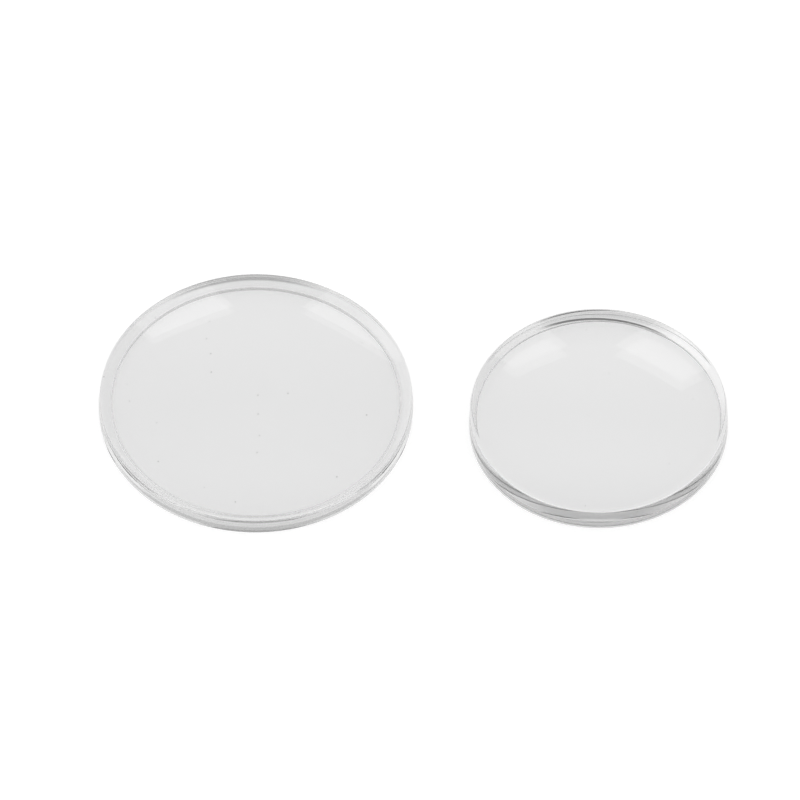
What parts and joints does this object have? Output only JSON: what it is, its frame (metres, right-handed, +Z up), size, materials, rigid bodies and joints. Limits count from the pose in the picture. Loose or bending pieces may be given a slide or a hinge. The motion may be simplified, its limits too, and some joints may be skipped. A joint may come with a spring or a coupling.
{
  "type": "watch crystal",
  "caption": "Clear domed watch crystal with a short rim around a shallow recess, in a large form and a smaller, thicker form, both lying dome up.",
  "frame": {"origin": "middle of the space that the two crystals take, on the surface that their feet lie on", "axes": "+Z up along both crystals' axes towards their domes, +X from the large crystal to the small one, -Y towards the viewer"},
  "size_m": [0.07, 0.035, 0.0044],
  "materials": {
    "clear_large": "polished, clear and colourless",
    "clear_small": "polished, clear and colourless"
  },
  "bodies": {
    "root": {"large_crystal": "clear_large", "small_crystal": "clear_small"}
  },
  "joints": []
}
